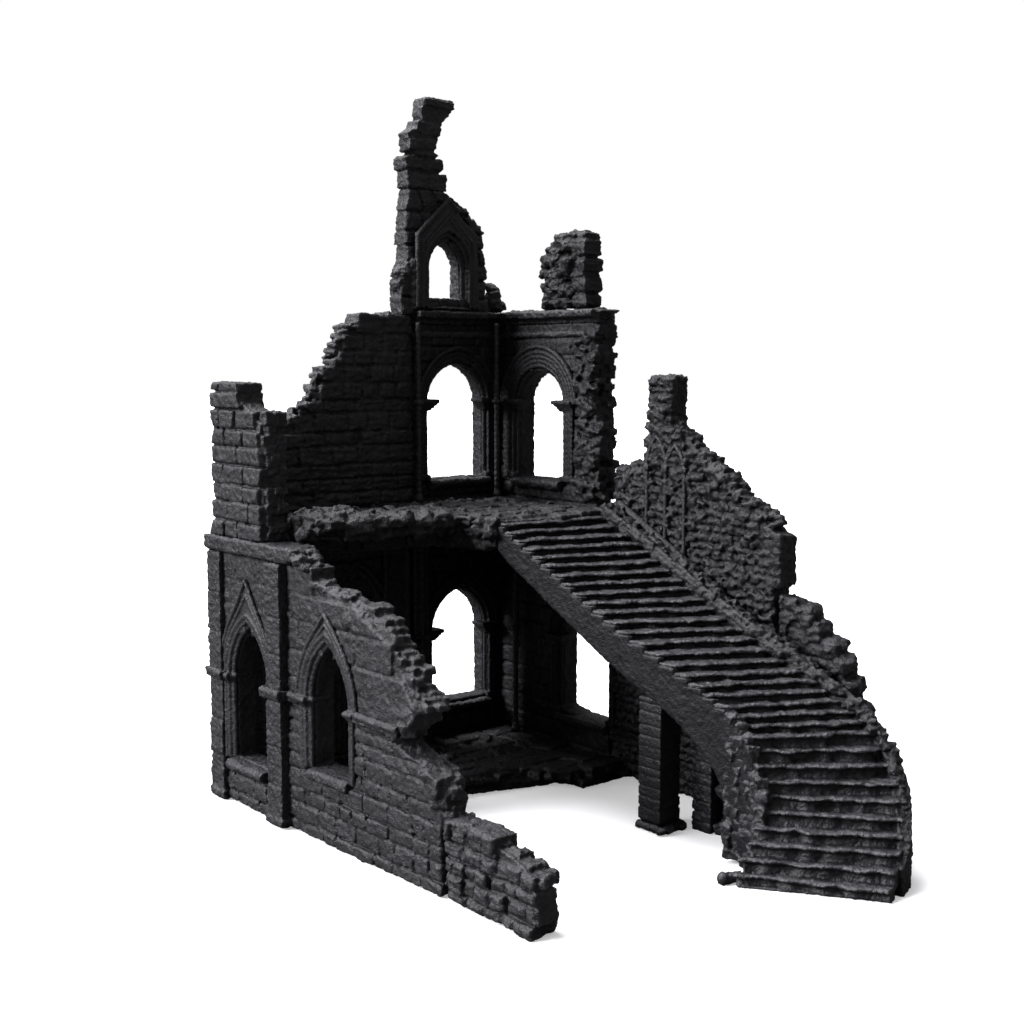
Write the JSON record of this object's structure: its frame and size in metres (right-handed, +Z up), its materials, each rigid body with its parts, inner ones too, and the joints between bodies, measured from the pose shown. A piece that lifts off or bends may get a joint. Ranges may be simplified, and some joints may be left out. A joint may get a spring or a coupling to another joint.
{
  "type": "miniature terrain ruin",
  "caption": "Miniature gothic ruin for tabletop play: broken walls with pointed windows, an upper floor, a tall spire fragment and a curved staircase",
  "frame": {"origin": "middle of the footprint, on the table surface", "axes": "+X runs right along the back wall, +Y points back, +Z is up and is the longest extent"},
  "size_m": [0.1064, 0.1658, 0.192],
  "materials": {
    "black_plastic": "near-black printed plastic, matt with a faint sheen on edges, stone texture moulded in"
  },
  "bodies": {
    "ground_storey": {"back_pier_ground": "black_plastic", "back_wall_ground": "black_plastic", "bay_shaft_ground": "black_plastic", "bay_sill_ground_back": "black_plastic", "bay_sill_ground_right": "black_plastic", "bay_surround_ground_back": "black_plastic", "bay_surround_ground_right": "black_plastic", "bay_wall_ground_back": "black_plastic", "bay_wall_ground_right": "black_plastic", "ground_floor_slab": "black_plastic", "left_buttress": "black_plastic", "left_corner_pilaster": "black_plastic", "left_cornice": "black_plastic", "left_sill_front": "black_plastic", "left_sill_rear": "black_plastic", "left_string_buttress": "black_plastic", "left_string_corner": "black_plastic", "left_string_front": "black_plastic", "left_string_middle": "black_plastic", "left_stub_wall": "black_plastic", "left_surround_front": "black_plastic", "left_surround_rear": "black_plastic", "left_wall": "black_plastic", "stair_wall_high": "black_plastic", "stair_wall_low": "black_plastic", "stair_wall_string": "black_plastic"},
    "upper_storey": {"bay_ledge": "black_plastic", "bay_shaft_upper_corner": "black_plastic", "bay_shaft_upper_left": "black_plastic", "bay_sill_upper_back": "black_plastic", "bay_sill_upper_right": "black_plastic", "bay_surround_upper_back": "black_plastic", "bay_surround_upper_right": "black_plastic", "bay_wall_upper_back": "black_plastic", "bay_wall_upper_right": "black_plastic", "first_floor_slab": "black_plastic", "ledge_rubble_stack": "black_plastic", "ledge_rubble_stub": "black_plastic", "upper_back_wall": "black_plastic", "upper_left_wall": "black_plastic"},
    "spire": {"spire_cap": "black_plastic", "spire_courses": "black_plastic", "spire_sill": "black_plastic", "spire_surround": "black_plastic", "spire_wall": "black_plastic"},
    "staircase": {"stair_base_block": "black_plastic", "stair_curb": "black_plastic", "stair_flight": "black_plastic", "stair_post_front": "black_plastic", "stair_post_plate": "black_plastic", "stair_post_rear": "black_plastic", "stair_toe_block": "black_plastic"}
  },
  "joints": [
    {"name": "upper_storey_lift", "type": "slide", "parent": "ground_storey", "child": "upper_storey", "axis": [0, 0, 1], "range_m": [0, 0.05]},
    {"name": "spire_lift", "type": "slide", "parent": "upper_storey", "child": "spire", "axis": [0, 0, 1], "range_m": [0, 0.03]},
    {"name": "staircase_lift", "type": "slide", "parent": "ground_storey", "child": "staircase", "axis": [0, 0, 1], "range_m": [0, 0.12]}
  ]
}
